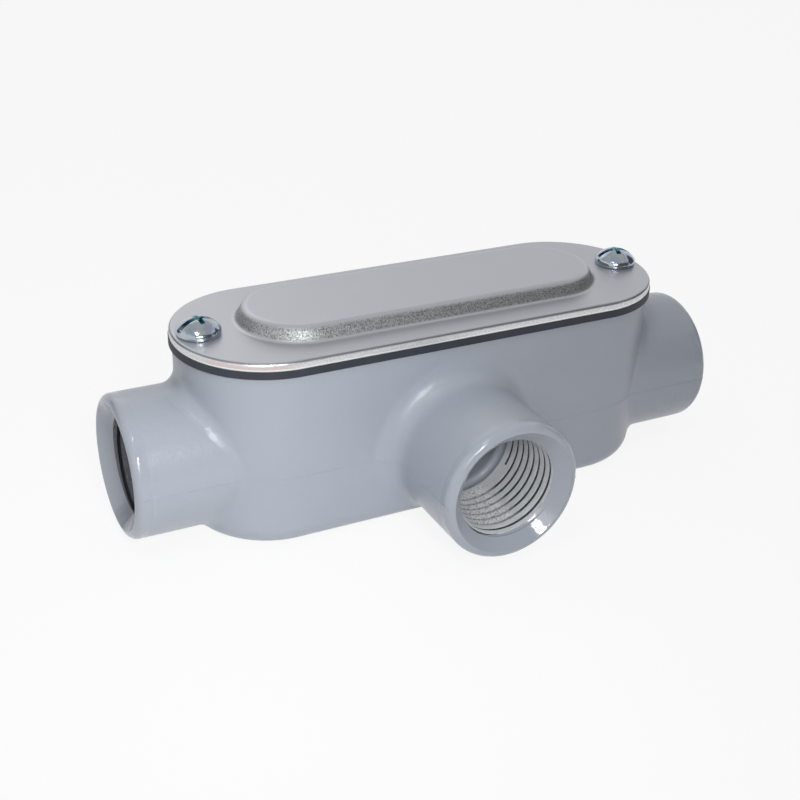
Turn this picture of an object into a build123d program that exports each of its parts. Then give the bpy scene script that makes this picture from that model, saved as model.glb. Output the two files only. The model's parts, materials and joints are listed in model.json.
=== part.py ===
from build123d import *
from math import radians, tan
import os

# Half-inch type T conduit body: a cast run with three threaded hubs, a gasket, a stamped cover and screws.
# Millimetres. The origin is on the flat base, under the middle of the run. +X is along the run, the tee hub
# points to -Y, and +Z is up.

# Hull of the casting: a slot outline, drafted so that it is wider at the top
body_straight = 62.5
body_height = 34.5
body_top_radius = 16.7
body_base_radius = 16.1
base_round = 4.2
wall = 2.4
floor = 2.4
cavity_round = 1.8

# Hubs: their outside, how far they stand out, and how high their axis is over the base
hub_diameter = 26.4
hub_lift = 1.25
run_hub_reach = 12.2
tee_reach = 36.6
rim_round = 1.5
run_root_round = 3.0
tee_root_round = 4.5

# Pipe thread in the hubs, fourteen threads to the inch, cut straight and shallow, with broad crests
thread_pitch = 25.4 / 14
thread_crest_radius = 9.3
thread_depth = 0.58
thread_root_flat = 0.08
thread_flank_angle = 30
thread_start_turn = 37
thread_runout = 1.1
groove_overcut = 0.5

# Rounded bushing ring that ends each threaded hole and guards the wires
bushing_step = 1.3
bushing_round = 1.1
run_bushing_length = 2.9
tee_bushing_length = 4.6

# Cover screws
screw_diameter = 4.1
screw_length = 12.7
screw_point = 0.6
head_diameter = 7.9
head_side = 1.0
head_height = 3.0
head_edge_round = 0.3
slot_width = 1.15
slot_depth = 1.55
cross_span = 4.4
cross_width = 0.95
cross_foot_span = 1.8
cross_foot_width = 0.57
cross_depth = 2.2
left_slot_turn = 8.0
right_slot_turn = -15.0

# Bosses in the casting that take the screws, and the clearances around the screws
screw_edge = 4.25
boss_radius = 3.9
boss_hole_spare = 1.2
boss_thread_clearance = 0.06
cover_hole_clearance = 0.08

# Gasket, a flat rubber frame that widens around the screws
gasket_thickness = 1.4
gasket_overhang = 0.55
gasket_band = 3.9
gasket_screw_land = 5.0

# Stamped cover and its raised panel
cover_thickness = 1.55
cover_overhang = 0.4
cover_edge_round = 0.6
cover_flange = 5.7
panel_screw_gap = 3.4
panel_height = 2.6
panel_slope = 62
panel_shoulder_round = 1.5
panel_foot_round = 1.0
panel_inside_round = 0.4

# A cutting tool runs this far past the face that it cuts, and an edge is found to this nearness
overcut = 1.0
edge_tolerance = 0.02

# Hub sizes that follow from the values above
run_length = body_straight + 2 * (body_top_radius + run_hub_reach)
hub_radius = hub_diameter / 2
axis_height = hub_radius + hub_lift
mouth_radius = hub_radius - rim_round
bushing_radius = thread_crest_radius - bushing_step

# Screw, cover and panel sizes that follow
screw_spacing = body_straight + 2 * (body_top_radius - screw_edge)
screw_radius = screw_diameter / 2
screw_engagement = screw_length - cover_thickness - gasket_thickness
gasket_radius = body_top_radius + gasket_overhang
gasket_top = body_height + gasket_thickness
cover_radius = body_top_radius + cover_overhang
cover_top = gasket_top + cover_thickness
panel_foot_radius = cover_radius - cover_flange
panel_straight = screw_spacing - head_diameter - 2 * (panel_screw_gap + panel_foot_radius)
panel_inset = panel_height / tan(radians(panel_slope))
inner_foot_radius = panel_foot_radius - cover_thickness * tan(radians(panel_slope / 2))


def slot(straight, radius, height=0.0):
    """Outline with two straight sides along X and two round ends, at the given height."""
    return Pos(0, 0, height) * SlotCenterToCenter(straight, 2 * radius)


def post(radius, height):
    """Cylinder that stands on the origin."""
    return Cylinder(radius, height, align=(Align.CENTER, Align.CENTER, Align.MIN))


def at_screws(shape):
    """Two copies of a shape, one on the axis of each cover screw."""
    return [Pos(side * screw_spacing / 2, 0, 0) * shape for side in (-1, 1)]


def hub_places():
    """For each hub: the middle of its mouth with Z pointing in, and how deep its bushing and throat lie."""
    left = Plane(origin=(-run_length / 2, 0, axis_height), x_dir=(0, 1, 0), z_dir=(1, 0, 0))
    right = Plane(origin=(run_length / 2, 0, axis_height), x_dir=(0, 1, 0), z_dir=(-1, 0, 0))
    tee = Plane(origin=(0, -tee_reach, axis_height), x_dir=(1, 0, 0), z_dir=(0, 1, 0))
    inner_radius = body_base_radius - wall
    run_bushing = (run_length - body_straight) / 2 - inner_radius - run_bushing_length
    run_throat = (run_length - screw_spacing) / 2 + boss_radius + overcut
    tee_bushing = tee_reach - inner_radius - tee_bushing_length
    tee_throat = tee_reach - inner_radius + overcut
    return [
        (left, run_bushing, run_throat),
        (right, run_bushing, run_throat),
        (tee, tee_bushing, tee_throat),
    ]


def hull():
    """Outer hull of the casting, wider at the top, with its base edge rounded."""
    low = slot(body_straight, body_base_radius)
    high = slot(body_straight, body_top_radius, body_height)
    solid = loft([low, high])
    return fillet(solid.faces().sort_by(Axis.Z)[0].edges(), base_round)


def cavity():
    """Inside of the hull, open at the top, with its floor edge rounded."""
    low = slot(body_straight, body_base_radius - wall, floor)
    high = slot(body_straight, body_top_radius - wall, body_height)
    solid = loft([low, high])
    solid = fillet(solid.faces().sort_by(Axis.Z)[0].edges(), cavity_round)
    return solid + extrude(high, overcut)


def hubs():
    """The run's two hubs as one bar, and the tee hub, with rounded rims."""
    run = Pos(0, 0, axis_height) * Rot(0, 90, 0) * Cylinder(hub_radius, run_length)
    run = fillet(run.edges().filter_by(GeomType.CIRCLE), rim_round)
    tee = Pos(0, 0, axis_height) * Rot(90, 0, 0) * post(hub_radius, tee_reach)
    tee = fillet(tee.faces().sort_by(Axis.Y)[0].edges(), rim_round)
    return run, tee


def root_edges(solid, axis, end):
    """Edges where the hubs on one axis meet the hull: on the hub's skin, and short of its rim."""
    found = []
    for edge in solid.edges():
        points = [edge.position_at(share) for share in (0, 0.25, 0.5, 0.75, 1)]
        on_skin = all(abs(axis_distance(p, axis) - hub_radius) < edge_tolerance for p in points)
        along = [abs(p.X) if axis == "X" else -p.Y for p in points]
        if on_skin and max(along) < end - 2 * rim_round:
            found.append(edge)
    return found


def axis_distance(point, axis):
    """Distance of a point from the run's axis or the tee's axis."""
    across = point.Y if axis == "X" else point.X
    return (across**2 + (point.Z - axis_height) ** 2) ** 0.5


def hub_hole(bushing_depth, throat_depth):
    """Tool for one hub's hole: lead-in cone, bore, and the bushing's throat. Local Z points inwards."""
    outline = Polyline(
        (0, -overcut),
        (mouth_radius + overcut, -overcut),
        (thread_crest_radius, mouth_radius - thread_crest_radius),
        (thread_crest_radius, bushing_depth),
        (bushing_radius, bushing_depth),
        (bushing_radius, throat_depth),
        (0, throat_depth),
        close=True,
    )
    profile = make_face(Plane.XZ * outline)
    lip = profile.vertices().sort_by_distance((bushing_radius, 0, bushing_depth))[0]
    return revolve(fillet(lip, min(bushing_round, bushing_step - edge_tolerance)), Axis.Z)


def thread_groove(bushing_depth):
    """Tool for one hub's thread: a right-hand helical groove with flat root. Local Z points inwards."""
    half_root = thread_root_flat / 2
    inner = thread_crest_radius - groove_overcut
    outer = thread_crest_radius + thread_depth
    half_mouth = half_root + (outer - inner) * tan(radians(thread_flank_angle))
    corners = [(inner, -half_mouth), (outer, -half_root), (outer, half_root), (inner, half_mouth)]
    section = Plane.XZ * Polygon(*corners, align=None)
    path = Helix(thread_pitch, bushing_depth - thread_runout - thread_pitch / 2, thread_crest_radius)
    return Rot(0, 0, thread_start_turn) * sweep(section, path, is_frenet=True)


def body_casting():
    """The one-piece casting: hull, three hubs, cavity, screw bosses, bushings and threads."""
    outside = hull()
    run, tee = hubs()
    solid = outside + run + tee
    solid = fillet(root_edges(solid, "Y", tee_reach), tee_root_round)
    solid = fillet(root_edges(solid, "X", run_length / 2), run_root_round)
    solid -= cavity()
    for pillar in at_screws(Pos(0, 0, axis_height) * post(boss_radius, body_height - axis_height)):
        solid += pillar & outside
    for place, bushing_depth, throat_depth in hub_places():
        solid -= place * hub_hole(bushing_depth, throat_depth)
        solid -= place * thread_groove(bushing_depth)
    hole_depth = screw_engagement + boss_hole_spare
    hole = post(screw_radius + boss_thread_clearance, hole_depth + overcut)
    for drill in at_screws(Pos(0, 0, body_height - hole_depth) * hole):
        solid -= drill
    return solid


def screw_holes(bottom, thickness):
    """Tools for the two screw holes through a sheet."""
    hole = post(screw_radius + cover_hole_clearance, thickness + 2 * overcut)
    return at_screws(Pos(0, 0, bottom - overcut) * hole)


def cover_gasket():
    """Flat rubber frame between the casting's rim and the cover."""
    window_radius = gasket_radius - gasket_band
    window_straight = screw_spacing - 2 * (gasket_screw_land + window_radius)
    frame = slot(body_straight, gasket_radius) - slot(window_straight, window_radius)
    solid = Pos(0, 0, body_height) * extrude(frame, gasket_thickness)
    for hole in screw_holes(body_height, gasket_thickness):
        solid -= hole
    return solid


def panel_form(foot_radius, bottom):
    """Solid form of the raised panel, with its sloping side, from a given foot radius and height."""
    low = slot(panel_straight, foot_radius, bottom)
    high = slot(panel_straight, foot_radius - panel_inset, bottom + panel_height)
    return loft([low, high])


def slot_edges(solid, straight, radius, height):
    """Edges of a solid that lie on a slot outline of the given size at the given height."""
    found = []
    for edge in solid.edges():
        points = [edge.position_at(share) for share in (0, 0.5, 1)]
        past_straight = [max(abs(p.X) - straight / 2, 0) for p in points]
        off_outline = [abs((x**2 + p.Y**2) ** 0.5 - radius) for x, p in zip(past_straight, points)]
        off_height = [abs(p.Z - height) for p in points]
        if max(off_outline + off_height) < edge_tolerance:
            found.append(edge)
    return found


def cover_plate():
    """Stamped sheet cover: a flat flange with a rounded top edge, and the raised panel, hollow beneath."""
    solid = extrude(slot(body_straight, cover_radius, gasket_top), cover_thickness)
    solid = fillet(slot_edges(solid, body_straight, cover_radius, cover_top), cover_edge_round)
    solid += panel_form(panel_foot_radius, cover_top)
    solid -= panel_form(inner_foot_radius, gasket_top)
    shoulder = slot_edges(solid, panel_straight, panel_foot_radius - panel_inset, cover_top + panel_height)
    solid = fillet(shoulder, panel_shoulder_round)
    foot = slot_edges(solid, panel_straight, panel_foot_radius, cover_top)
    solid = fillet(foot, panel_foot_round)
    inner_foot = slot_edges(solid, panel_straight, inner_foot_radius, gasket_top)
    solid = fillet(inner_foot, panel_foot_round + cover_thickness)
    inner_top = gasket_top + panel_height
    inner_shoulder = slot_edges(solid, panel_straight, inner_foot_radius - panel_inset, inner_top)
    solid = fillet(inner_shoulder, panel_inside_round)
    for hole in screw_holes(gasket_top, cover_thickness):
        solid -= hole
    return solid


def cover_screw(slot_turn):
    """Round-head machine screw with slot and cross recess, pointing down, its head seated at the origin."""
    head_radius = head_diameter / 2
    dome_rise = head_height - head_side
    dome_radius = (head_radius**2 + dome_rise**2) / (2 * dome_rise)
    dome = Pos(0, 0, head_height - dome_radius) * Sphere(dome_radius)
    head = post(head_radius, head_height) & dome
    head = fillet(head.faces().sort_by(Axis.Z)[0].edges(), head_edge_round)
    shank = Pos(0, 0, -screw_length) * post(screw_radius, screw_length)
    shank = chamfer(shank.faces().sort_by(Axis.Z)[0].edges(), screw_point)
    driver_slot = Box(head_diameter + overcut, slot_width, slot_depth + overcut)
    driver_slot = Pos(0, 0, head_height + (overcut - slot_depth) / 2) * driver_slot
    wing_foot = Pos(0, 0, head_height - cross_depth) * Rectangle(cross_foot_width, cross_foot_span)
    wing_top = Pos(0, 0, head_height) * Rectangle(cross_width, cross_span)
    wing = loft([wing_foot, wing_top])
    cross = wing + Rot(0, 0, 90) * wing
    return Rot(0, 0, slot_turn) * (head + shank - driver_slot - cross)


def nodes():
    """Every piece of the conduit body, by name."""
    left, right = at_screws(Pos(0, 0, cover_top))
    return {
        "body_casting": body_casting(),
        "cover_gasket": cover_gasket(),
        "cover_plate": cover_plate(),
        "cover_screw_left": left * cover_screw(left_slot_turn),
        "cover_screw_right": right * cover_screw(right_slot_turn),
    }


os.makedirs("parts", exist_ok=True)
for name, solid in nodes().items():
    export_step(solid, f"parts/{name}.step")
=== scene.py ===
"""The looks of a half-inch type T conduit body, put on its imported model.

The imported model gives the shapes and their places. This script gives every piece its finish, cuts the fine
thread of the cover screws, runs the parting line round the casting, and sets up the studio and the camera.

The fields of pieces and finishes are in millimetres, and those of the studio and the camera in metres. One
pixel of the picture is about 0.17 mm on the object, and a pattern that is finer is drawn coarser, to show.
"""

from __future__ import annotations

import json
import logging
import math
from dataclasses import dataclass
from enum import Enum

import bmesh
import bpy
from mathutils import Matrix, Vector


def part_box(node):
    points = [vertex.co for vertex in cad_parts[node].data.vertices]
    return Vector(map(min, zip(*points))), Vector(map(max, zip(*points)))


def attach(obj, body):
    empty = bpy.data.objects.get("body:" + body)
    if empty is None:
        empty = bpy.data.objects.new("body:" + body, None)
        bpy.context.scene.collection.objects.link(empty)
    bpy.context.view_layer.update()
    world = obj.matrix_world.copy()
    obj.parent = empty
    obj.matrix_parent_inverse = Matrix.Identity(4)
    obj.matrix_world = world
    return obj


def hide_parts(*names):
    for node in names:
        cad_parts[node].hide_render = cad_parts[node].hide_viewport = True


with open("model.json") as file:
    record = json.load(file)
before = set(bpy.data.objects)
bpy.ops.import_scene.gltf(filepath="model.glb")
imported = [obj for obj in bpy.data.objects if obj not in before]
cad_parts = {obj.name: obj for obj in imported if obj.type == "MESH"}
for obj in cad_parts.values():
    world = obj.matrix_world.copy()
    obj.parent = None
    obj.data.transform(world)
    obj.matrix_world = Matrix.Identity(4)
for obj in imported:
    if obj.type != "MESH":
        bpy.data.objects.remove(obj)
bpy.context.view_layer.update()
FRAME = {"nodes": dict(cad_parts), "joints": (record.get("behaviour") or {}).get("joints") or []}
LOG = logging.getLogger("conduit_body")

Tree = bpy.types.NodeTree
Node = bpy.types.Node
Socket = bpy.types.NodeSocket
Inputs = dict[int | str, object]

MM = 0.001
IMAGE_PIXELS = 800
# In millimetres: how high the hubs' axes lie above the base, and how near two corners are that are one.
HUB_AXIS_HEIGHT = 14.45
MERGE_DISTANCE = 0.002
WHITE = "#FFFFFF"
UP = (0.0, 0.0, 1.0)

# The places of a Mix node's inputs: the colour below and the colour laid over it, and the same for numbers.
UNDER, OVER = 6, 7
NUMBER_UNDER, NUMBER_OVER = 2, 3


def linear(colour: str) -> tuple[float, float, float, float]:
    """Turns an sRGB colour into the linear values that a shader takes, by the sRGB standard's own numbers.

    Args:
        colour: Six hex digits after a hash, as in "#A0A4AC".

    Returns:
        Red, green, blue and an alpha of 1.
    """
    parts = [int(colour[i : i + 2], 16) / 255 for i in (1, 3, 5)]
    red, green, blue = (c / 12.92 if c <= 0.04045 else ((c + 0.055) / 1.055) ** 2.4 for c in parts)
    return red, green, blue, 1.0


def noise_scale(width: float) -> float:
    """Gives the scale at which a noise draws spots of a width in millimetres."""
    return 1 / (width * MM)


def add_node(tree: Tree, kind: str, inputs: Inputs | None = None, **settings: object) -> Node:
    """Adds a node with its settings, and sets or links its inputs.

    Args:
        tree: The node tree that gets the node.
        kind: The node's type name, without ShaderNode in front.
        inputs: For each input, by name or number, a value, an output socket, or a node that stands for
            its first live output.
        settings: The node's own properties.

    Returns:
        The new node.
    """
    node = tree.nodes.new("ShaderNode" + kind)
    for name, value in settings.items():
        setattr(node, name, value)
    for name, value in (inputs or {}).items():
        if isinstance(value, Node):
            value = next(socket for socket in value.outputs if socket.enabled)
        if isinstance(value, Socket):
            tree.links.new(value, node.inputs[name])
        else:
            node.inputs[name].default_value = value
    return node


def add_object(name: str, data: bpy.types.ID) -> bpy.types.Object:
    """Makes an object and puts it in the scene.

    Args:
        name: The object's name.
        data: Its mesh, lamp or camera.

    Returns:
        The new object, at the origin.
    """
    obj = bpy.data.objects.new(name, data)
    bpy.context.scene.collection.objects.link(obj)
    return obj


def mesh_object(name: str, bm: bmesh.types.BMesh) -> bpy.types.Object:
    """Makes an object from a bmesh, at the origin, and frees the bmesh.

    Args:
        name: The object's name.
        bm: The mesh to use up.

    Returns:
        The new object, in the scene.
    """
    mesh = bpy.data.meshes.new(name)
    bm.to_mesh(mesh)
    bm.free()
    return add_object(name, mesh)


def merged_copy(node: str) -> bmesh.types.BMesh:
    """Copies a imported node's mesh and joins its loose triangles.

    Args:
        node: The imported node's name.

    Returns:
        A bmesh whose faces share their corners.
    """
    bm = bmesh.new()
    bm.from_mesh(FRAME["nodes"][node].data)
    bmesh.ops.remove_doubles(bm, verts=bm.verts, dist=MERGE_DISTANCE * MM)
    return bm


@dataclass(frozen=True)
class Finish:
    """What all finishes share: a name, and how the material is put together."""

    name: str

    def material(self) -> bpy.types.Material:
        """Builds the node material of this finish.

        Returns:
            The new material.
        """
        material = bpy.data.materials.new(self.name)
        material.use_nodes = True
        tree = material.node_tree
        tree.nodes.clear()
        place = add_node(tree, "TexCoord")
        add_node(tree, "OutputMaterial", {"Surface": self.shade(tree, place)})
        return material

    def shade(self, tree: Tree, place: Node) -> Node:
        """Adds the finish's own nodes and returns its shader."""
        raise NotImplementedError


@dataclass(frozen=True)
class Way:
    """One direction in which hubs are bored.

    It has the axes along and across the bore, the mouth's distance from the middle of the body, the stretch
    that the tap cut, measured in from the mouth, and the share of painted shade over all of that stretch.
    """

    along: int
    across: int
    mouth: float
    cut_from: float
    cut_to: float
    stretch_shade: float


@dataclass(frozen=True)
class SprayPaint(Finish):
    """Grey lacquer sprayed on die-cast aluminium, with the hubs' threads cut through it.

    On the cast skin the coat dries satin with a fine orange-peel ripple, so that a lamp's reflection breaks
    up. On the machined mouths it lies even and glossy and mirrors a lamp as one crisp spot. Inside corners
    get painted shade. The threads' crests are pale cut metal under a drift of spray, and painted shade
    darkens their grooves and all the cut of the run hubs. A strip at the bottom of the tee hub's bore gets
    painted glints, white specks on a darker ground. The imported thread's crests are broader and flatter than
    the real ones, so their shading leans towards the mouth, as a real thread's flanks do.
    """

    name: str = "sprayed_grey_lacquer"
    colour: str = "#ACB2BD"
    roughness: float = 0.33
    # The machined mouth of each hub reaches this deep, and the coat's gloss changes over half of it.
    mouth_roughness: float = 0.12
    mouth_depth: float = 3.4
    # Orange peel is about a millimetre wide, and shows as it is.
    peel_width: float = 0.9
    peel_height: float = 0.05
    peel_detail: float = 1.0
    cloud_width: float = 18.0
    cloud_share: float = 0.04
    # The painted shade in inside corners: the light that reaches an inside corner, as shares of the full
    # light, between which the painted shade fades out.
    corner_shade_band: tuple[float, float] = (0.55, 0.95)
    corner_shade_colour: str = "#747A85"
    corner_shade_reach: float = 3.5
    corner_shade_share: float = 0.55
    corner_shade_samples: int = 12
    crest_colour: str = "#E9ECEF"
    # The strip at the bottom of the tee hub's bore gets painted glints, white specks on a darker ground.
    glint_ground_colour: str = "#B9BEC5"
    glint_colour: str = "#FAFAFB"
    # The grooves, and all the cut of the run hubs, get painted shade.
    groove_shade_colour: str = "#3C414A"
    # Farther from the bore's axis than the first radius the cut is groove, and past the second it ends.
    groove_radius: float = 9.42
    cut_radius: float = 10.2
    cut_roughness: float = 0.36
    cut_metal: float = 0.06
    glint_metal: float = 0.15
    # The share of the grooves' painted shade that is kept in the strip of painted glints.
    zone_groove_shade: float = 0.45
    # The tap's torn grit is about 0.1 mm wide, too fine to show, and is drawn two pixels wide and as steep.
    grit_width: float = 0.34
    grit_height: float = 0.38
    # The strip of painted glints at the bottom of the tee hub's bore: how far below the axis it starts and is
    # full, its middle along the tee hub, half its length, the fade at its ends, and the heights of grit that
    # turn from its ground to glint.
    glint_from: float = 7.9
    glint_to: float = 8.8
    glint_middle: float = -25.2
    glint_half: float = 5.4
    glint_fade: float = 1.2
    glint_band: tuple[float, float] = (0.38, 0.48)
    # How far the thread's shading leans towards the mouth, and the share of it outside the strip of painted
    # glints.
    flank_lean: float = 0.7
    lean_outside_glints: float = 0.32
    ways: tuple[Way, ...] = (
        Way(along=0, across=1, mouth=60.15, cut_from=2.4, cut_to=12.9, stretch_shade=0.8),
        Way(along=1, across=0, mouth=36.6, cut_from=2.4, cut_to=17.8, stretch_shade=0.0),
    )

    def shade(self, tree: Tree, place: Node) -> Node:
        """Adds the lacquer, the cut threads and the masks between them.

        Args:
            tree: The material's node tree.
            place: The texture coordinate node.

        Returns:
            The principled shader.
        """
        here = place.outputs["Object"]
        cut, groove, mouth = self.hub_masks(tree, here)
        glint_zone = self.glint_zone_mask(tree, here)
        grit = add_node(tree, "TexNoise", {"Vector": here, "Scale": noise_scale(self.grit_width)})
        low, high = self.glint_band
        glints = add_node(tree, "MapRange", {"Value": grit, "From Min": low, "From Max": high})
        # Painted glints: white specks on a darker ground in the strip at the bottom of the tee hub's bore,
        # where the grooves' painted shade is weaker.
        painted_light_mask = add_node(tree, "Math", {0: glint_zone, 1: glints}, operation="MULTIPLY")
        stain = add_node(tree, "MapRange", {"Value": glint_zone, "To Min": 1.0, "To Max": self.zone_groove_shade})
        shade_mask = add_node(tree, "Math", {0: groove, 1: stain}, operation="MULTIPLY")
        thread = linear(self.crest_colour)
        for mask, tone in ((glint_zone, self.glint_ground_colour), (painted_light_mask, self.glint_colour), (shade_mask, self.groove_shade_colour)):
            layer = {"Factor": mask, UNDER: thread, OVER: linear(tone)}
            thread = add_node(tree, "Mix", layer, data_type="RGBA")
        layer = {"Factor": cut, UNDER: self.coat_tone(tree, here), OVER: thread}
        colour = add_node(tree, "Mix", layer, data_type="RGBA")
        gloss = {"Value": mouth, "To Min": self.roughness, "To Max": self.mouth_roughness}
        coat = add_node(tree, "MapRange", gloss)
        rough = add_node(tree, "Mix", {"Factor": cut, NUMBER_UNDER: coat, NUMBER_OVER: self.cut_roughness})
        shares = {"Value": painted_light_mask, "To Min": self.cut_metal, "To Max": self.glint_metal}
        metal = add_node(tree, "Math", {0: cut, 1: add_node(tree, "MapRange", shares)}, operation="MULTIPLY")
        normal = self.relief(tree, here, grit, cut, glint_zone)
        return add_node(
            tree,
            "BsdfPrincipled",
            {"Base Color": colour, "Metallic": metal, "Roughness": rough, "Normal": normal},
        )

    def coat_tone(self, tree: Tree, here: Socket) -> Node:
        """Adds the lacquer's colour, with faint clouds and painted shade in inside corners.

        Args:
            tree: The material's node tree.
            here: The place on the object.

        Returns:
            The node that gives the colour.
        """
        clouds = add_node(tree, "TexNoise", {"Vector": here, "Scale": noise_scale(self.cloud_width)})
        band = {"Value": clouds, "To Min": 1 - self.cloud_share, "To Max": 1 + self.cloud_share}
        level = add_node(tree, "MapRange", band)
        paint = add_node(tree, "VectorMath", {0: linear(self.colour)[:3], "Scale": level}, operation="SCALE")
        # Painted shade: the colour darkens where an inside corner lets little light in.
        corner = add_node(
            tree,
            "AmbientOcclusion",
            {"Distance": self.corner_shade_reach * MM},
            samples=self.corner_shade_samples,
            only_local=True,
        )
        dark, light = self.corner_shade_band
        painted_corner_shade = add_node(
            tree,
            "MapRange",
            {
                "Value": corner.outputs["AO"],
                "From Min": dark,
                "From Max": light,
                "To Min": self.corner_shade_share,
                "To Max": 0.0,
            },
        )
        layer = {"Factor": painted_corner_shade, UNDER: paint, OVER: linear(self.corner_shade_colour)}
        return add_node(tree, "Mix", layer, data_type="RGBA")

    def glint_zone_mask(self, tree: Tree, here: Socket) -> Node:
        """Adds the mask of the strip at the bottom of the tee hub's bore that gets painted glints.

        Args:
            tree: The material's node tree.
            here: The place on the object.

        Returns:
            The node that gives the mask.
        """
        _, along, height = add_node(tree, "SeparateXYZ", {0: here}).outputs
        below = add_node(tree, "Math", {0: HUB_AXIS_HEIGHT * MM, 1: height}, operation="SUBTRACT")
        start, full = self.glint_from * MM, self.glint_to * MM
        low = add_node(tree, "MapRange", {"Value": below, "From Min": start, "From Max": full})
        moved = add_node(tree, "Math", {0: along, 1: self.glint_middle * MM}, operation="SUBTRACT")
        away = add_node(tree, "Math", {0: moved}, operation="ABSOLUTE")
        outer, inner = (self.glint_half + self.glint_fade) * MM, self.glint_half * MM
        near = add_node(tree, "MapRange", {"Value": away, "From Min": outer, "From Max": inner})
        return add_node(tree, "Math", {0: low, 1: near}, operation="MULTIPLY")

    def relief(self, tree: Tree, here: Socket, grit: Node, cut: Node, glint_zone: Node) -> Node:
        """Adds the orange peel of the lacquer, and the grit and leaning flanks of the cut threads.

        Args:
            tree: The material's node tree.
            here: The place on the object.
            grit: The grain of the cut metal.
            cut: The mask of the cut threads.
            glint_zone: The mask of the strip of painted glints.

        Returns:
            The node that gives the normal.
        """
        scale = noise_scale(self.peel_width)
        peel = add_node(tree, "TexNoise", {"Vector": here, "Scale": scale, "Detail": self.peel_detail})
        ripple = add_node(tree, "Bump", {"Height": peel, "Distance": self.peel_height * MM})
        folded = add_node(tree, "VectorMath", {0: here}, operation="ABSOLUTE")
        x, y, _ = add_node(tree, "SeparateXYZ", {0: folded}).outputs
        reach = add_node(tree, "Math", {0: x, 1: y}, operation="MAXIMUM")
        fall = add_node(tree, "Math", {0: reach, 1: -self.flank_lean}, operation="MULTIPLY")
        tilt = add_node(tree, "MapRange", {"Value": glint_zone, "To Min": self.lean_outside_glints, "To Max": 1.0})
        share = add_node(tree, "Math", {0: cut, 1: tilt}, operation="MULTIPLY")
        # The height is in metres here, so the bump's own distance is one.
        lean = add_node(tree, "Bump", {"Height": fall, "Distance": 1.0, "Strength": share, "Normal": ripple})
        grain = {"Height": grit, "Distance": self.grit_height * MM, "Strength": cut, "Normal": lean}
        return add_node(tree, "Bump", grain)

    def hub_masks(self, tree: Tree, here: Socket) -> tuple[Node, ...]:
        """Adds the masks of the cut bores, of the painted shade in their grooves and cut, and of the machined
        mouths.

        Args:
            tree: The material's node tree.
            here: The place on the object.

        Returns:
            The nodes that give the three masks, in that order.
        """
        parts = add_node(tree, "SeparateXYZ", {0: here}).outputs
        rise = add_node(tree, "Math", {0: parts[2], 1: HUB_AXIS_HEIGHT * MM}, operation="SUBTRACT")
        masks = []
        for way in self.ways:
            flat = add_node(tree, "CombineXYZ", {0: parts[way.across], 1: rise})
            radius = add_node(tree, "VectorMath", {0: flat}, operation="LENGTH")
            reach = add_node(tree, "Math", {0: parts[way.along]}, operation="ABSOLUTE")
            middle = way.mouth - (way.cut_from + way.cut_to) / 2
            half = (way.cut_to - way.cut_from) / 2
            inside = add_node(tree, "Math", {0: radius, 1: self.cut_radius * MM}, operation="LESS_THAN")
            within = add_node(tree, "Math", {0: reach, 1: middle * MM, 2: half * MM}, operation="COMPARE")
            cut = add_node(tree, "Math", {0: inside, 1: within}, operation="MULTIPLY")
            # Painted shade: full in the grooves, and the way's own share of it over the rest of the cut.
            deep = add_node(tree, "Math", {0: radius, 1: self.groove_radius * MM}, operation="GREATER_THAN")
            shade_mask = add_node(tree, "Math", {0: deep, 1: way.stretch_shade}, operation="MAXIMUM")
            groove = add_node(tree, "Math", {0: cut, 1: shade_mask}, operation="MULTIPLY")
            start, full = way.mouth - self.mouth_depth, way.mouth - self.mouth_depth / 2
            mouth = add_node(
                tree,
                "MapRange",
                {"Value": reach, "From Min": start * MM, "From Max": full * MM},
                interpolation_type="SMOOTHSTEP",
            )
            masks.append((cut, groove, mouth))
        return tuple(add_node(tree, "Math", {0: a, 1: b}, operation="MAXIMUM") for a, b in zip(*masks))


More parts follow.
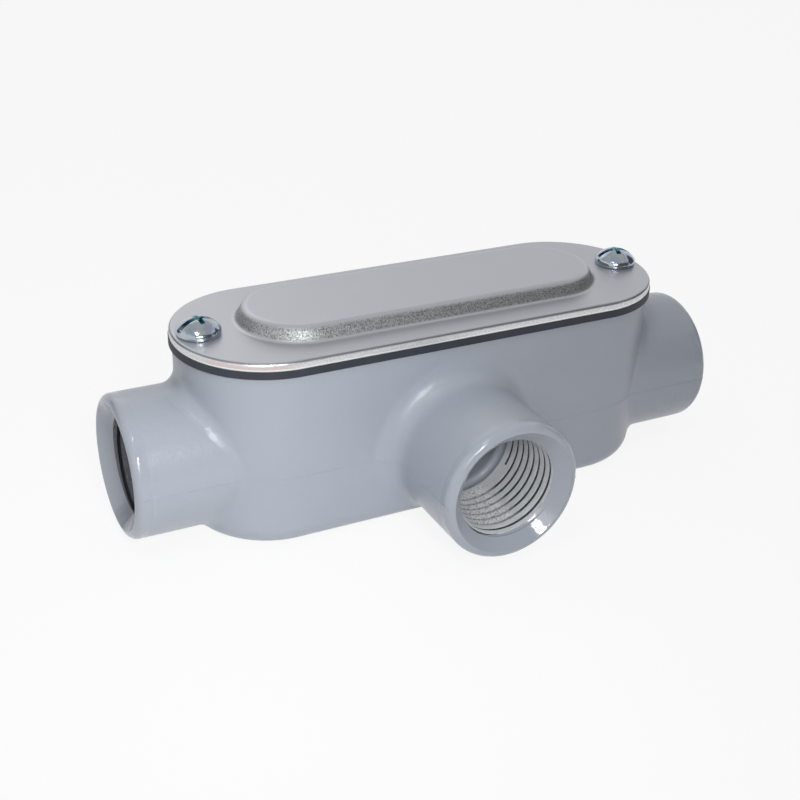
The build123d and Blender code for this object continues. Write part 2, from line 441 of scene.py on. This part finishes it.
@dataclass(frozen=True)
class StampedSheet(Finish):
    """Mill-finish galvanised sheet, sheared and stamped cold.

    Its flat parts keep the rolled satin face and blur what they mirror. Where the die stretched the sheet
    into the panel's sloping side the zinc's grain has risen, so it is rough and speckled, and painted shade
    darkens it. The sheared edge is bright, with a painted dark reflection along its top and a painted
    highlight along its foot, and a warm painted reflection at the corner where it faces front left.
    """

    name: str = "stamped_galvanised_sheet"
    colour: str = "#BBBEC7"
    warm_colour: str = "#C1C1C6"
    metal_share: float = 0.7
    roughness: float = 0.38
    slope_roughness: float = 0.45
    # The slope's speckled tone: the speckle is the risen grain, and its darkness is painted shade.
    slope_shade_dark: str = "#7A7D80"
    slope_light: str = "#B2B5B4"
    edge_colour: str = "#E2E3E4"
    torn_colour: str = "#C9CBCE"
    warm_reflection_colour: str = "#DABFB9"
    edge_roughness: float = 0.34
    cloud_width: float = 9.0
    # The zinc's risen grain is about 0.1 mm wide, too fine to show, and is drawn one and a half pixels wide.
    grain_width: float = 0.24
    grain_height: float = 0.07
    flat_grain_height: float = 0.003
    # The heights of grain that turn from dark to light, and the upward facings that turn from flat to slope.
    spot_band: tuple[float, float] = (0.38, 0.62)
    slope_band: tuple[float, float] = (0.86, 0.58)
    # Half the straight lengths of the panel and the cover, and how far from the middle line the panel's
    # foot lies and the sheared edge starts. The painted highlight along the edge's foot ends, and the painted
    # dark reflection along its top starts, at these heights.
    panel_half_straight: float = 24.95
    panel_foot: float = 11.9
    half_straight: float = 31.25
    edge_from: float = 16.75
    edge_fade: float = 0.1
    foot_highlight_colour: str = "#F6F6F4"
    foot_highlight_top: float = 36.22
    lip_reflection_colour: str = "#8F9298"
    lip_reflection_from: float = 37.12
    # The way that the edge faces where it gets a warm painted reflection, and how nearly the edge has to face
    # it.
    warm_reflection_way: tuple[float, float, float] = (-0.53, -0.848, 0.0)
    warm_reflection_band: tuple[float, float] = (0.86, 0.93)

    def shade(self, tree: Tree, place: Node) -> Node:
        """Adds the sheet's satin face, its risen grain and its sheared edge.

        Args:
            tree: The material's node tree.
            place: The texture coordinate node.

        Returns:
            The principled shader.
        """
        here = place.outputs["Object"]
        slope = self.slope_mask(tree, place)
        outward = self.from_spine(tree, here, self.half_straight)
        start, full = self.edge_from * MM, (self.edge_from + self.edge_fade) * MM
        edge = add_node(tree, "MapRange", {"Value": outward, "From Min": start, "From Max": full})
        grain = add_node(tree, "TexNoise", {"Vector": here, "Scale": noise_scale(self.grain_width)})
        face = {"Value": slope, "To Min": self.roughness, "To Max": self.slope_roughness}
        rolled = add_node(tree, "MapRange", face)
        layer = {"Factor": edge, NUMBER_UNDER: rolled, NUMBER_OVER: self.edge_roughness}
        rough = add_node(tree, "Mix", layer)
        share = self.flat_grain_height / self.grain_height
        swell = add_node(tree, "MapRange", {"Value": slope, "To Min": share, "To Max": 1.0})
        height = add_node(tree, "Math", {0: grain, 1: swell}, operation="MULTIPLY")
        bump = add_node(tree, "Bump", {"Height": height, "Distance": self.grain_height * MM})
        colour = self.tone(tree, place, slope, edge, grain)
        return add_node(
            tree,
            "BsdfPrincipled",
            {"Base Color": colour, "Metallic": self.metal_share, "Roughness": rough, "Normal": bump},
        )

    def tone(self, tree: Tree, place: Node, slope: Node, edge: Node, grain: Node) -> Node:
        """Adds the sheet's colour on its flats, its slope and its edge, with its painted shade, highlight and
        reflections.

        Args:
            tree: The material's node tree.
            place: The texture coordinate node.
            slope: The mask of the panel's sloping side.
            edge: The mask of the sheared edge.
            grain: The zinc's grain.

        Returns:
            The node that gives the colour.
        """
        here = place.outputs["Object"]
        clouds = add_node(tree, "TexNoise", {"Vector": here, "Scale": noise_scale(self.cloud_width)})
        dark, light = self.spot_band
        spots = add_node(tree, "MapRange", {"Value": grain, "From Min": dark, "From Max": light})
        # A warm painted reflection where the edge faces front left.
        facing = add_node(
            tree, "VectorMath", {0: place.outputs["Normal"], 1: self.warm_reflection_way}, operation="DOT_PRODUCT"
        )
        least, full = self.warm_reflection_band
        painted_light_mask = add_node(tree, "MapRange", {"Value": facing, "From Min": least, "From Max": full})
        warm_reflection = add_node(tree, "Math", {0: painted_light_mask, 1: spots}, operation="MULTIPLY")
        # A painted highlight along the edge's foot, and a painted dark reflection along its top.
        height = add_node(tree, "SeparateXYZ", {0: here}).outputs[2]
        low = add_node(tree, "Math", {0: height, 1: self.foot_highlight_top * MM}, operation="LESS_THAN")
        high = add_node(tree, "Math", {0: height, 1: self.lip_reflection_from * MM}, operation="GREATER_THAN")
        sheared = (
            (spots, self.edge_colour),
            (warm_reflection, self.warm_reflection_colour),
            (low, self.foot_highlight_colour),
            (high, self.lip_reflection_colour),
        )
        tones = []
        for ground, layers in (
            (self.colour, ((clouds, self.warm_colour),)),
            (self.slope_shade_dark, ((spots, self.slope_light),)),
            (self.torn_colour, sheared),
        ):
            tone = linear(ground)
            for mask, over in layers:
                layer = {"Factor": mask, UNDER: tone, OVER: linear(over)}
                tone = add_node(tree, "Mix", layer, data_type="RGBA")
            tones.append(tone)
        colour, slope_shade_tone, edge_tone = tones
        for mask, over in ((slope, slope_shade_tone), (edge, edge_tone)):
            layer = {"Factor": mask, UNDER: colour, OVER: over}
            colour = add_node(tree, "Mix", layer, data_type="RGBA")
        return colour

    def slope_mask(self, tree: Tree, place: Node) -> Node:
        """Adds the mask of the panel's sloping side.

        Args:
            tree: The material's node tree.
            place: The texture coordinate node.

        Returns:
            The node that gives the mask.
        """
        facing = add_node(tree, "SeparateXYZ", {0: place.outputs["Normal"]}).outputs[2]
        flat, steep = self.slope_band
        leaning = add_node(tree, "MapRange", {"Value": facing, "From Min": flat, "From Max": steep})
        outward = self.from_spine(tree, place.outputs["Object"], self.panel_half_straight)
        near = add_node(tree, "Math", {0: outward, 1: self.panel_foot * MM}, operation="LESS_THAN")
        return add_node(tree, "Math", {0: leaning, 1: near}, operation="MULTIPLY")

    def from_spine(self, tree: Tree, here: Socket, half_length: float) -> Node:
        """Adds the distance from the cover's long middle line, which its round-ended outlines follow.

        Args:
            tree: The material's node tree.
            here: The place on the object.
            half_length: Half the middle line's length, in millimetres.

        Returns:
            The node that gives the distance, in metres.
        """
        folded = add_node(tree, "VectorMath", {0: here}, operation="ABSOLUTE")
        # A metre off the height takes it below zero everywhere, so that it drops out of the distance.
        end = (half_length * MM, 0.0, 1.0)
        moved = add_node(tree, "VectorMath", {0: folded, 1: end}, operation="SUBTRACT")
        past = add_node(tree, "VectorMath", {0: moved, 1: (0.0, 0.0, 0.0)}, operation="MAXIMUM")
        return add_node(tree, "VectorMath", {0: past}, operation="LENGTH")


@dataclass(frozen=True)
class SheetRubber(Finish):
    """Dark neoprene sheet, die-cut: a dull bloomed face with the fine drag marks of the cut on its edge."""

    name: str = "die_cut_neoprene"
    colour: str = "#262A33"
    bloom_colour: str = "#343A45"
    roughness: float = 0.62
    bloom_width: float = 4.0
    # The drag marks are about 0.1 mm wide, too fine to show, and are drawn one and a half pixels wide.
    grain_width: float = 0.25
    grain_height: float = 0.01

    def shade(self, tree: Tree, place: Node) -> Node:
        """Adds the rubber with its bloom and grain.

        Args:
            tree: The material's node tree.
            place: The texture coordinate node.

        Returns:
            The principled shader.
        """
        here = place.outputs["Object"]
        bloom = add_node(tree, "TexNoise", {"Vector": here, "Scale": noise_scale(self.bloom_width)})
        layer = {"Factor": bloom, UNDER: linear(self.colour), OVER: linear(self.bloom_colour)}
        colour = add_node(tree, "Mix", layer, data_type="RGBA")
        grain = add_node(tree, "TexNoise", {"Vector": here, "Scale": noise_scale(self.grain_width)})
        bump = add_node(tree, "Bump", {"Height": grain, "Distance": self.grain_height * MM})
        return add_node(
            tree, "BsdfPrincipled", {"Base Color": colour, "Roughness": self.roughness, "Normal": bump}
        )


@dataclass(frozen=True)
class BrightZinc(Finish):
    """Zinc plate with a clear blue passivation: a bright cold mirror, with blue-green left in the recess."""

    name: str = "blue_bright_zinc_plate"
    colour: str = "#B2BBBD"
    roughness: float = 0.17
    # The film's hues change over a couple of millimetres, between these heights of its noise.
    film_colour: str = "#A3ADBF"
    film_width: float = 2.2
    film_band: tuple[float, float] = (0.42, 0.58)
    recess_colour: str = "#5FAFC2"
    recess_radius: float = 2.4
    recess_floor: float = 0.6
    stain_width: float = 0.9
    stain_band: tuple[float, float] = (0.35, 0.65)
    # The plate follows the waves of the headed wire, drawn deeper than they are so that highlights break.
    ripple_width: float = 1.4
    ripple_height: float = 0.09
    # A hair below the dome's skin is dome_top, less dome_drop times one more than the square of the radius.
    dome_top: float = 3.0
    dome_drop: float = 0.12
    # The middle of the head's underside, in metres.
    centre: tuple[float, float, float] = (0.0, 0.0, 0.0)

    def shade(self, tree: Tree, place: Node) -> Node:
        """Adds the zinc, and the blue-green stain on the walls of the driver recess.

        Args:
            tree: The material's node tree.
            place: The texture coordinate node.

        Returns:
            The principled shader.
        """
        ends = {0: place.outputs["Object"], 1: self.centre}
        here = add_node(tree, "VectorMath", ends, operation="SUBTRACT")
        masks = []
        for width, (low, high) in ((self.film_width, self.film_band), (self.stain_width, self.stain_band)):
            noise = add_node(tree, "TexNoise", {"Vector": here, "Scale": noise_scale(width)})
            masks.append(add_node(tree, "MapRange", {"Value": noise, "From Min": low, "From Max": high}))
        film, patchy = masks
        tint = add_node(tree, "Math", {0: patchy, 1: self.recess_mask(tree, here)}, operation="MULTIPLY")
        colour = linear(self.colour)
        for mask, over in ((film, self.film_colour), (tint, self.recess_colour)):
            layer = {"Factor": mask, UNDER: colour, OVER: linear(over)}
            colour = add_node(tree, "Mix", layer, data_type="RGBA")
        ripple = add_node(tree, "TexNoise", {"Vector": here, "Scale": noise_scale(self.ripple_width)})
        bump = add_node(tree, "Bump", {"Height": ripple, "Distance": self.ripple_height * MM})
        return add_node(
            tree,
            "BsdfPrincipled",
            {"Base Color": colour, "Metallic": 1.0, "Roughness": self.roughness, "Normal": bump},
        )

    def recess_mask(self, tree: Tree, here: Node) -> Node:
        """Adds the mask of the recess: near the axis, above its floor and below the dome's skin.

        Args:
            tree: The material's node tree.
            here: The place, measured from the seat of the head.

        Returns:
            The node that gives the mask.
        """
        x, y, z = add_node(tree, "SeparateXYZ", {0: here}).outputs
        flat = add_node(tree, "CombineXYZ", {0: x, 1: y})
        radius = add_node(tree, "VectorMath", {0: flat}, operation="LENGTH")
        near = add_node(tree, "Math", {0: radius, 1: self.recess_radius * MM}, operation="LESS_THAN")
        high = add_node(tree, "Math", {0: z, 1: self.recess_floor * MM}, operation="GREATER_THAN")
        square = add_node(tree, "Math", {0: radius, 1: radius}, operation="MULTIPLY")
        bowl = {0: square, 1: -self.dome_drop / MM, 2: (self.dome_top - self.dome_drop) * MM}
        skin = add_node(tree, "Math", bowl, operation="MULTIPLY_ADD")
        under = add_node(tree, "Math", {0: z, 1: skin}, operation="LESS_THAN")
        both = add_node(tree, "Math", {0: near, 1: high}, operation="MULTIPLY")
        return add_node(tree, "Math", {0: both, 1: under}, operation="MULTIPLY")


@dataclass(frozen=True)
class StudioPaper(Finish):
    """Matt white paper that shows almost white, and keeps a soft shadow."""

    name: str = "white_paper"
    colour: str = "#F4F4F4"
    glow_share: float = 0.88

    def shade(self, tree: Tree, place: Node) -> Node:
        """Adds the paper, which glows only for the camera and for mirrored and refracted rays.

        Args:
            tree: The material's node tree.
            place: The texture coordinate node, which plain paper leaves alone.

        Returns:
            The mixed shader.
        """
        paper = add_node(tree, "BsdfDiffuse", {"Color": linear(self.colour)})
        glow = add_node(tree, "Emission", {"Color": linear(WHITE), "Strength": 1.0})
        share = add_node(tree, "Math", {0: seen_directly(tree), 1: self.glow_share}, operation="MULTIPLY")
        return add_node(tree, "MixShader", {0: share, 1: paper, 2: glow})


@dataclass(frozen=True)
class FlagCloth(Finish):
    """Dull grey cloth of a studio flag, which keeps light off and gives metal something darker to mirror.

    It has an even tone, whatever light falls on it.
    """

    name: str = "dark_flag_cloth"
    glow: float = 0.06

    def shade(self, tree: Tree, place: Node) -> Node:
        """Adds the even tone of the cloth."""
        return add_node(tree, "Emission", {"Color": linear(WHITE), "Strength": self.glow})


@dataclass(frozen=True)
class CeilingSilk(FlagCloth):
    """Thin silk under an overhead lamp: an even mid grey to look at, and a broad weak light."""

    name: str = "ceiling_silk"
    glow: float = 0.62


def seen_directly(tree: Tree) -> Node:
    """Adds a value of 1 for camera, glossy and transmission rays, and of 0 for all others.

    Args:
        tree: The node tree.

    Returns:
        The node that gives the value.
    """
    rays = add_node(tree, "LightPath").outputs
    seen = rays["Is Camera Ray"]
    for kind in ("Is Glossy Ray", "Is Transmission Ray"):
        seen = add_node(tree, "Math", {0: seen, 1: rays[kind]}, operation="MAXIMUM")
    return seen


def dress(node: str, finish: Finish) -> bpy.types.Object:
    """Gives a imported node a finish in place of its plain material.

    Args:
        node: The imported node's name.
        finish: The finish to wear.

    Returns:
        The node's object.
    """
    obj = FRAME["nodes"][node]
    obj.material_slots[0].material = finish.material()
    LOG.info("%s wears %s", node, finish.name)
    return obj


@dataclass
class Casting:
    """The painted casting, and the fine ridge that its die left at the height of the hubs' axis.

    The hub and hull fields bound the outer skin at that height, so that the ridge stays out of the bores and
    the cavity. The ridge is a bead, proud by its radius, which is about the least that shows.
    """

    node: str = "body_casting"
    body: str = "casting"
    slot: str = "grey_paint"
    hub_skin: float = 12.8
    hull_end: float = 47.3
    hull_side: float = 16.1
    hull_straight: float = 62.5
    hull_skin: float = 15.0
    ridge_radius: float = 0.06
    ridge_rounding: int = 2

    def build(self, finish: SprayPaint) -> None:
        """Paints the casting and adds its parting ridge.

        Args:
            finish: The lacquer.
        """
        painted = dress(self.node, finish)
        ridge = self.parting_ridge()
        ridge.data.materials.append(painted.material_slots[0].material)
        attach(ridge, self.body)
        LOG.info("parting_ridge has %d faces", len(ridge.data.polygons))

    def on_skin(self, point: Vector) -> bool:
        """Tells whether a point at the axis height lies on the casting's outer skin.

        Args:
            point: A point on the casting, in metres.

        Returns:
            True on the outside of the hull and hubs.
        """
        x, y = abs(point.x) / MM, point.y / MM
        if x > self.hull_end:
            return abs(y) > self.hub_skin
        if y < -self.hull_side:
            return x > self.hub_skin
        return math.hypot(max(x - self.hull_straight / 2, 0), y) > self.hull_skin

    def parting_ridge(self) -> bpy.types.Object:
        """Cuts a copy of the casting at the axis height and lays a fine bead along its outer skin.

        Returns:
            The ridge, as a mesh.
        """
        bm = merged_copy(self.node)
        cut = bmesh.ops.bisect_plane(
            bm,
            geom=bm.verts[:] + bm.edges[:] + bm.faces[:],
            plane_co=(0, 0, HUB_AXIS_HEIGHT * MM),
            plane_no=UP,
        )["geom_cut"]
        edges = [e for e in cut if isinstance(e, bmesh.types.BMEdge)]
        kept = {e for e in edges if all(self.on_skin(v.co) for v in e.verts)}
        bmesh.ops.delete(bm, geom=bm.faces[:], context="FACES_ONLY")
        bmesh.ops.delete(bm, geom=[e for e in bm.edges if e not in kept], context="EDGES")
        bmesh.ops.delete(bm, geom=[v for v in bm.verts if not v.link_edges], context="VERTS")
        line = mesh_object("parting_line", bm)
        bpy.ops.object.select_all(action="DESELECT")
        bpy.context.view_layer.objects.active = line
        line.select_set(True)
        bpy.ops.object.convert(target="CURVE")
        line.data.bevel_depth = self.ridge_radius * MM
        line.data.bevel_resolution = self.ridge_rounding
        line.data.use_fill_caps = True
        bead = line.evaluated_get(bpy.context.evaluated_depsgraph_get())
        ridge = add_object("parting_ridge", bpy.data.meshes.new_from_object(bead))
        bpy.data.objects.remove(line)
        ridge.data.shade_smooth()
        return ridge


@dataclass
class CoverSet:
    """The stamped cover and the rubber gasket under it."""

    plate: str = "cover_plate"
    gasket: str = "cover_gasket"

    def build(self, sheet: StampedSheet, rubber: SheetRubber) -> None:
        """Gives the cover and its gasket their finishes.

        Args:
            sheet: The cover's finish.
            rubber: The gasket's finish.
        """
        dress(self.plate, sheet)
        dress(self.gasket, rubber)


class Side(Enum):
    """Which end of the cover a screw holds."""

    LEFT = "left"
    RIGHT = "right"


@dataclass
class CoverScrew:
    """A cover screw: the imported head, on a shank that carries a real fine thread.

    Its side and the middle of its head's underside, in metres, come from the frame. The thread has 32 turns
    to the inch and flanks at 30 degrees, and the shank runs a little way up into the head.
    """

    side: Side
    seat: Vector
    pitch: float = 25.4 / 32
    crest_radius: float = 2.04
    root_radius: float = 1.56
    crest_flat: float = 0.12
    flank_degrees: float = 30.0
    spare_turns: int = 3
    lead_turns: float = 1.5
    steps: int = 40
    merge: float = 0.004
    point_length: float = 0.7
    point_radius: float = 1.5
    sunk: float = 0.4
    head_cut: float = 0.004
    flat_degrees: float = 0.5
    smooth_degrees: float = 32.0
    # The mesh's shortest edges clamp this bevel to under a micrometre. It rounds no edge, and only shades
    # the faces at the sharp ones, as in the recess, a little softer.
    bevel_width: float = 0.05
    bevel_segments: int = 2
    bevel_degrees: float = 40.0
    slot: str = "zinc_plate"

    def build(self, finish: BrightZinc) -> None:
        """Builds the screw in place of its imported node.

        Args:
            finish: The plating.
        """
        node = f"cover_screw_{self.side.value}"
        low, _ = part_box(node)
        bm = self.head(node)
        self.add_shank(bm, low.z)
        screw = mesh_object(f"{node}_threaded", bm)
        screw.data.shade_smooth()
        screw.data.set_sharp_from_angle(angle=math.radians(self.smooth_degrees))
        bevel = screw.modifiers.new("edge_shading", "BEVEL")
        bevel.width = self.bevel_width * MM
        bevel.segments = self.bevel_segments
        bevel.limit_method = "ANGLE"
        bevel.angle_limit = math.radians(self.bevel_degrees)
        bevel.use_clamp_overlap = True
        screw.data.materials.append(finish.material())
        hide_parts(node)
        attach(screw, f"screw_{self.side.value}")
        LOG.info("%s has %d faces", screw.name, len(screw.data.polygons))

    def head(self, node: str) -> bmesh.types.BMesh:
        """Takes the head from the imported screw, cuts the shank off a hair above its seat and closes it.

        Args:
            node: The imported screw's name.

        Returns:
            The closed head.
        """
        bm = merged_copy(node)
        bmesh.ops.bisect_plane(
            bm,
            geom=bm.verts[:] + bm.edges[:] + bm.faces[:],
            plane_co=self.seat + Vector((0, 0, self.head_cut * MM)),
            plane_no=UP,
            clear_inner=True,
        )
        bmesh.ops.holes_fill(bm, edges=[e for e in bm.edges if e.is_boundary])
        level = math.radians(self.flat_degrees)
        bmesh.ops.dissolve_limit(bm, angle_limit=level, verts=bm.verts, edges=bm.edges)
        return bm

    def add_shank(self, bm: bmesh.types.BMesh, tip: float) -> None:
        """Spins a zigzag outline up its own pitch into a right-hand thread, and cuts it to length.

        Args:
            bm: The mesh that gets the shank.
            tip: The height of the shank's tip, in metres.
        """
        shank = bmesh.new()
        pitch = self.pitch * MM
        turns = math.ceil((self.seat.z - tip) / pitch) + self.spare_turns
        half_flat = self.crest_flat * MM / 2
        rise = (self.crest_radius - self.root_radius) * MM * math.tan(math.radians(self.flank_degrees))
        start = tip - self.lead_turns * pitch
        ring = []
        for turn in range(turns):
            base = start + turn * pitch
            for height, radius in (
                (0, self.root_radius),
                (pitch / 2 - half_flat - rise, self.root_radius),
                (pitch / 2 - half_flat, self.crest_radius),
                (pitch / 2 + half_flat, self.crest_radius),
                (pitch / 2 + half_flat + rise, self.root_radius),
            ):
                ring.append(shank.verts.new((radius * MM, 0, base + height)))
        chain = [shank.edges.new(pair) for pair in zip(ring, ring[1:])]
        bmesh.ops.spin(
            shank,
            geom=ring + chain,
            cent=(0, 0, 0),
            axis=UP,
            dvec=(0, 0, pitch / self.steps),
            angle=math.tau,
            steps=self.steps,
            use_merge=False,
        )
        bmesh.ops.remove_doubles(shank, verts=shank.verts, dist=self.merge * MM)
        for height, keep_above in ((tip, True), (self.seat.z + self.sunk * MM, False)):
            bmesh.ops.bisect_plane(
                shank,
                geom=shank.verts[:] + shank.edges[:] + shank.faces[:],
                plane_co=(0, 0, height),
                plane_no=UP,
                clear_inner=keep_above,
                clear_outer=not keep_above,
            )
            bmesh.ops.holes_fill(shank, edges=[e for e in shank.edges if e.is_boundary])
        self.taper_point(shank, tip)
        bmesh.ops.recalc_face_normals(shank, faces=shank.faces)
        bmesh.ops.translate(shank, verts=shank.verts, vec=(self.seat.x, self.seat.y, 0))
        mesh = bpy.data.meshes.new("shank")
        shank.to_mesh(mesh)
        shank.free()
        bm.from_mesh(mesh)
        bpy.data.meshes.remove(mesh)

    def taper_point(self, shank: bmesh.types.BMesh, tip: float) -> None:
        """Draws the last turn of the thread in to a blunt point.

        Args:
            shank: The thread, on its own axis.
            tip: The height of the tip, in metres.
        """
        for vert in shank.verts:
            share = (vert.co.z - tip) / (self.point_length * MM)
            limit = (self.point_radius + (self.crest_radius - self.point_radius) * share) * MM
            radius = vert.co.xy.length
            if share < 1 and radius > limit:
                vert.co.xy *= limit / radius


def screw_seat(side: Side) -> Vector:
    """Finds the middle of the underside of a screw's head.

    Args:
        side: The end of the cover that the screw holds.

    Returns:
        The place of the screw's joint, in metres.
    """
    joint = next(j for j in FRAME["joints"] if j["child"] == f"screw_{side.value}")
    return Vector(joint["pos_m"])


@dataclass(frozen=True)
class SoftBox:
    """A square studio lamp that points at the object, with the spread of its beam in degrees."""

    name: str
    place: tuple[float, float, float]
    size: float
    watts: float
    spread: float = 180.0
    aim: tuple[float, float, float] = (0.0, 0.0, 0.02)

    def build(self) -> None:
        """Adds the lamp to the scene."""
        light = bpy.data.lights.new(self.name, "AREA")
        light.shape = "SQUARE"
        light.size = self.size
        light.energy = self.watts
        light.spread = math.radians(self.spread)
        lamp = add_object(self.name, light)
        lamp.location = self.place
        way = Vector(self.aim) - Vector(self.place)
        lamp.rotation_euler = way.to_track_quat("-Z", "Y").to_euler()
        lamp.visible_camera = False


@dataclass(frozen=True)
class Flag:
    """A square cloth that stands out of the camera's sight and faces the object."""

    name: str
    place: tuple[float, float, float]
    size: float
    finish: Finish = FlagCloth()

    def build(self) -> None:
        """Hangs the flag in the studio."""
        turn = Vector(self.place).to_track_quat("Z", "Y").to_matrix().to_4x4()
        bm = bmesh.new()
        matrix = Matrix.Translation(self.place) @ turn
        bmesh.ops.create_grid(bm, x_segments=1, y_segments=1, size=self.size / 2, matrix=matrix)
        cloth = mesh_object(self.name, bm)
        cloth.data.materials.append(self.finish.material())
        cloth.visible_camera = False


@dataclass(frozen=True)
class Studio:
    """A white paper floor and wall, grey flags, a silk ceiling, small soft lamps and a plain world."""

    half_width: float = 1.6
    wall_distance: float = 1.0
    wall_height: float = 1.3
    cove_radius: float = 0.3
    cove_steps: int = 12
    world_strength: float = 0.04
    flags: tuple[Flag, ...] = (
        Flag("front_flag", (0.10, -0.80, 0.20), 1.60, FlagCloth(glow=0.12)),
        Flag("left_flag", (-0.55, 0.65, 0.17), 0.42),
        Flag("right_flag", (0.80, -0.10, 0.22), 0.70, FlagCloth(glow=0.10)),
        Flag("ceiling", (0.0, 0.0, 0.85), 1.8, CeilingSilk()),
    )
    # The first two lamps stand near the left hub and have narrow beams, so that the light falls off to the
    # right. The third makes the small highlights from above, and the last one lifts the cover.
    lamps: tuple[SoftBox, ...] = (
        SoftBox("flash_softbox", (-0.066, -0.196, 0.138), 0.04, 0.0345, 75.0, aim=(-0.035, -0.01, 0.018)),
        SoftBox("fill_softbox", (-0.10, -0.16, 0.09), 0.06, 0.0103, 60.0, aim=(-0.06, 0.0, 0.014)),
        SoftBox("over_softbox", (-0.13, -0.14, 0.36), 0.06, 0.118),
        SoftBox("back_softbox", (0.0, 0.6, 0.5), 0.4, 0.27),
    )

    def build(self) -> None:
        """Sets up the paper, the flags, the lamps and the world."""
        self.build_paper()
        for thing in self.flags + self.lamps:
            thing.build()
        self.build_world()
        LOG.info("studio has %d lamps and %d flags", len(self.lamps), len(self.flags))

    def build_paper(self) -> None:
        """Extrudes the profile of floor, cove and wall into one sheet of paper."""
        bm = bmesh.new()
        bend = self.wall_distance - self.cove_radius
        points = [(-self.half_width, 0.0), (bend, 0.0)]
        for step in range(1, self.cove_steps + 1):
            turn = math.pi / 2 * step / self.cove_steps
            points.append((bend + self.cove_radius * math.sin(turn), self.cove_radius * (1 - math.cos(turn))))
        points.append((self.wall_distance, self.wall_height))
        chain = [bm.verts.new((-self.half_width, y, z)) for y, z in points]
        edges = [bm.edges.new(pair) for pair in zip(chain, chain[1:])]
        swept = bmesh.ops.extrude_edge_only(bm, edges=edges)["geom"]
        far = [v for v in swept if isinstance(v, bmesh.types.BMVert)]
        bmesh.ops.translate(bm, verts=far, vec=(2 * self.half_width, 0, 0))
        bmesh.ops.recalc_face_normals(bm, faces=bm.faces)
        paper = mesh_object("paper_sweep", bm)
        paper.data.shade_smooth()
        paper.data.materials.append(StudioPaper().material())

    def build_world(self) -> None:
        """Makes the world white for direct and mirrored looks, and dim as a light."""
        world = bpy.data.worlds.new("plain_world")
        world.use_nodes = True
        tree = world.node_tree
        tree.nodes.clear()
        levels = {"Value": seen_directly(tree), "To Min": self.world_strength, "To Max": 1.0}
        sky = {"Color": linear(WHITE), "Strength": add_node(tree, "MapRange", levels)}
        add_node(tree, "OutputWorld", {"Surface": add_node(tree, "Background", sky)})
        bpy.context.scene.world = world


@dataclass(frozen=True)
class PhotoCamera:
    """The photograph's camera.

    Its turns are in radians, its focal length in pixels of the picture and its sensor in millimetres.
    """

    place: tuple[float, float, float] = (-0.1095075, -0.2010559, 0.1332952)
    heading: float = 0.4838
    climb: float = -0.4759
    roll: float = 0.0333
    focal_pixels: float = 1322.585
    sensor: float = 36.0
    nearest: float = 0.01

    def build(self) -> None:
        """Adds the camera and makes it the scene's."""
        flat = math.cos(self.climb)
        ahead = Vector((math.sin(self.heading) * flat, math.cos(self.heading) * flat, math.sin(self.climb)))
        level = Vector((math.cos(self.heading), -math.sin(self.heading), 0))
        above = level.cross(ahead)
        right = level * math.cos(self.roll) + above * math.sin(self.roll)
        up = above * math.cos(self.roll) - level * math.sin(self.roll)
        turn = Matrix((right, up, -ahead)).transposed().to_4x4()
        data = bpy.data.cameras.new("photo_camera")
        data.sensor_width = self.sensor
        data.lens = self.focal_pixels * self.sensor / IMAGE_PIXELS
        data.clip_start = self.nearest
        camera = add_object("photo_camera", data)
        camera.matrix_world = Matrix.Translation(self.place) @ turn
        bpy.context.scene.camera = camera


def main() -> None:
    """Builds the camera, the studio and every piece."""
    logging.basicConfig(level=logging.INFO, format="%(name)s: %(message)s")
    bpy.context.scene.view_settings.view_transform = "Standard"
    PhotoCamera().build()
    Studio().build()
    Casting().build(SprayPaint())
    CoverSet().build(StampedSheet(), SheetRubber())
    for side in Side:
        seat = screw_seat(side)
        plating = BrightZinc(f"blue_bright_zinc_plate_{side.value}", centre=tuple(seat))
        CoverScrew(side, seat).build(plating)


if __name__ == "__main__":
    main()
